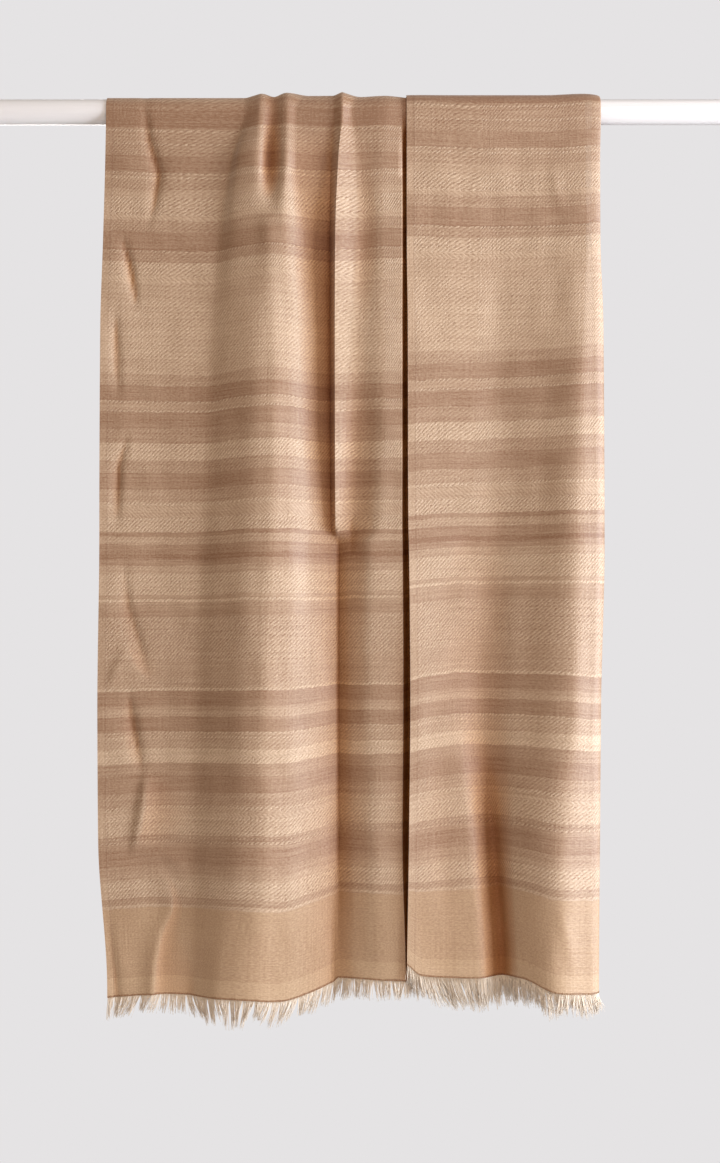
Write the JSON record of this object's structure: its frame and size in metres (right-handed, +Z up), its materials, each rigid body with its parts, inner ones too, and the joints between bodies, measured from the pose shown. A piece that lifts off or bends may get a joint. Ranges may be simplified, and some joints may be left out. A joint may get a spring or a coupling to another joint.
{
  "type": "wool shawl on hanging rod",
  "caption": "Striped wool shawl with a short frayed fringe, folded lengthwise and hung over a plain round rod so that it drops in soft folds front and back.",
  "frame": {"origin": "centre of the rod, on its axis, where it is held", "axes": "+X along the rod to the viewer's right, +Z up, front of the shawl faces -Y"},
  "size_m": [0.88, 0.0902, 1.0258],
  "materials": {
    "striped_wool": "soft woven twill and plain bands",
    "ivory_fringe": "frayed yarn",
    "white_lacquer": "gloss white lacquer"
  },
  "bodies": {
    "root": {"rod": "white_lacquer", "front_main": "striped_wool", "front_flap": "striped_wool", "main_turn": "striped_wool", "flap_turn": "striped_wool", "back_main": "striped_wool", "back_flap": "striped_wool", "front_main_fringe": "ivory_fringe", "front_flap_fringe": "ivory_fringe", "back_main_fringe": "ivory_fringe", "back_flap_fringe": "ivory_fringe"}
  },
  "joints": []
}
